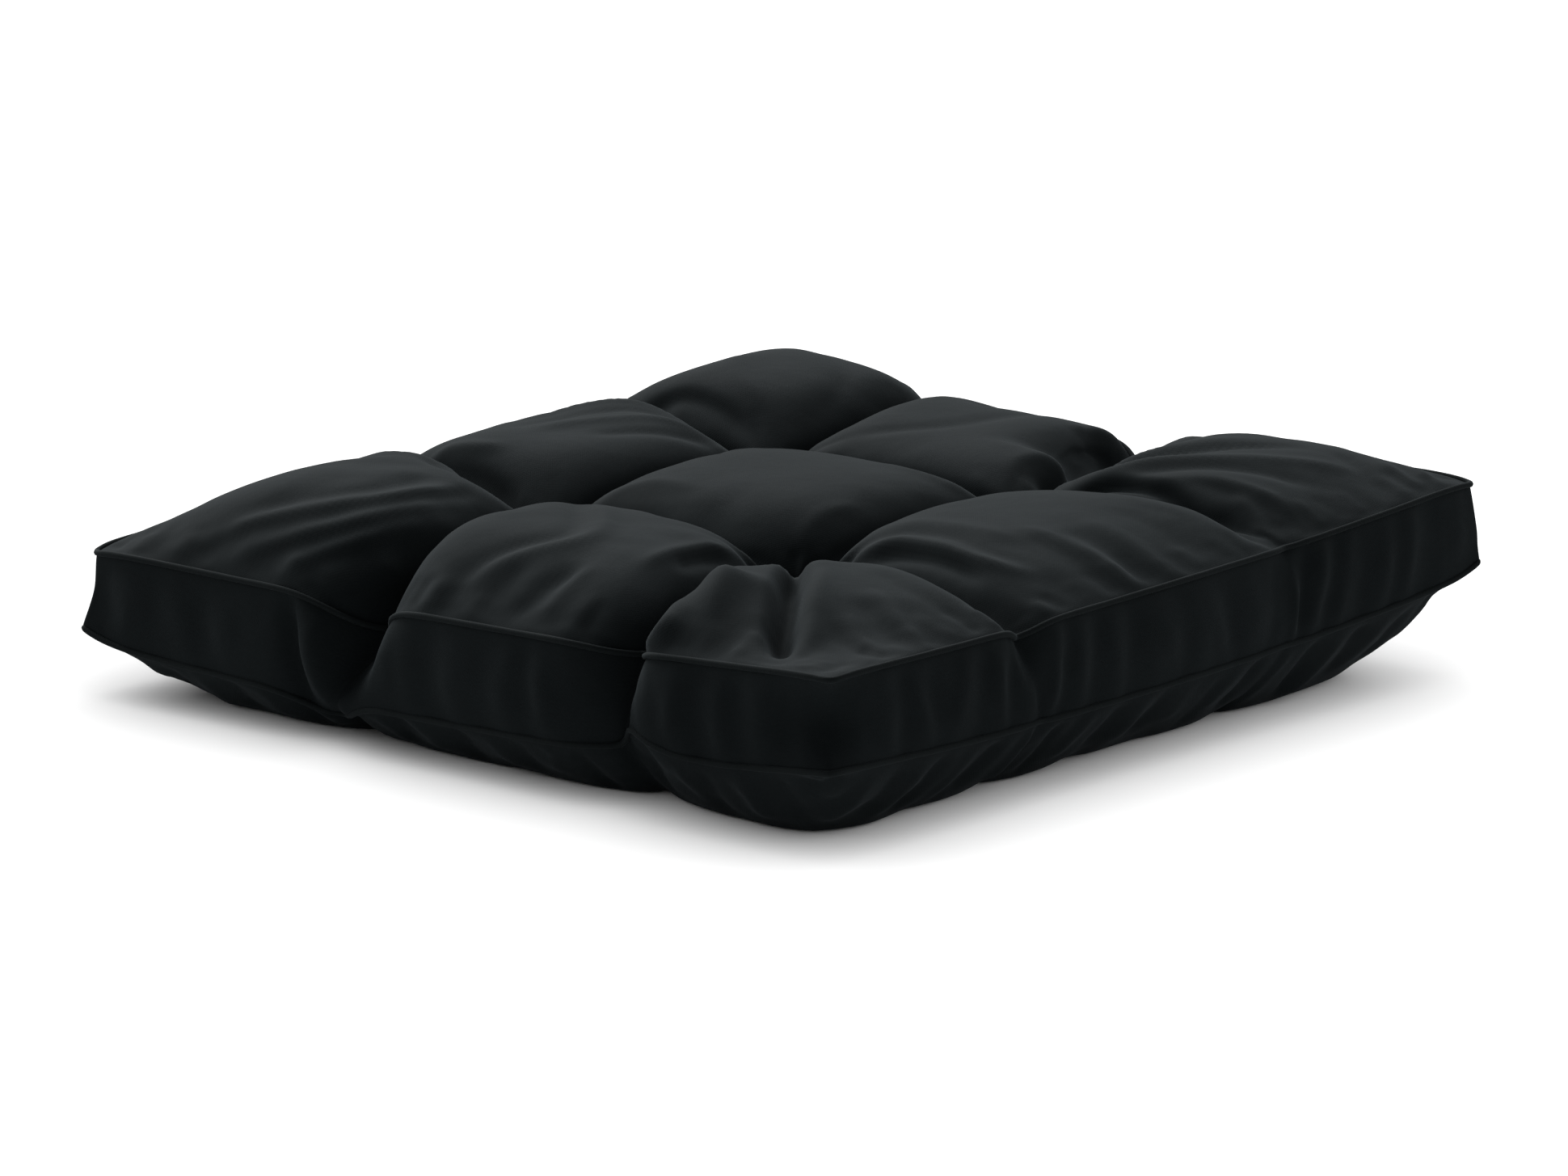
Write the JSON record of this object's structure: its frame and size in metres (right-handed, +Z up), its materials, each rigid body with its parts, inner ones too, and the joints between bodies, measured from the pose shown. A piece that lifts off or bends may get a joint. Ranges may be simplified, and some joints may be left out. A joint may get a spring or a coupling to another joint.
{
  "type": "tufted lounge cushion",
  "caption": "Square black lounge cushion with a boxed edge, piped seams and tufts that draw it into soft square pillows.",
  "frame": {"origin": "on the floor, under the middle of the cushion as it lies on its back", "axes": "+Z up through the thickness, X and Y along the sides; the side at -Y has the shallow creases and the side at -X the deep ones"},
  "size_m": [0.6115, 0.6115, 0.145],
  "materials": {
    "cover_cloth": "matt black plain weave with a faint sheen",
    "piping_cloth": "matt black plain weave cut on the bias over a cord"
  },
  "bodies": {
    "root": {"cushion": "cover_cloth", "piping_top": "piping_cloth", "piping_bottom": "piping_cloth"}
  },
  "joints": []
}
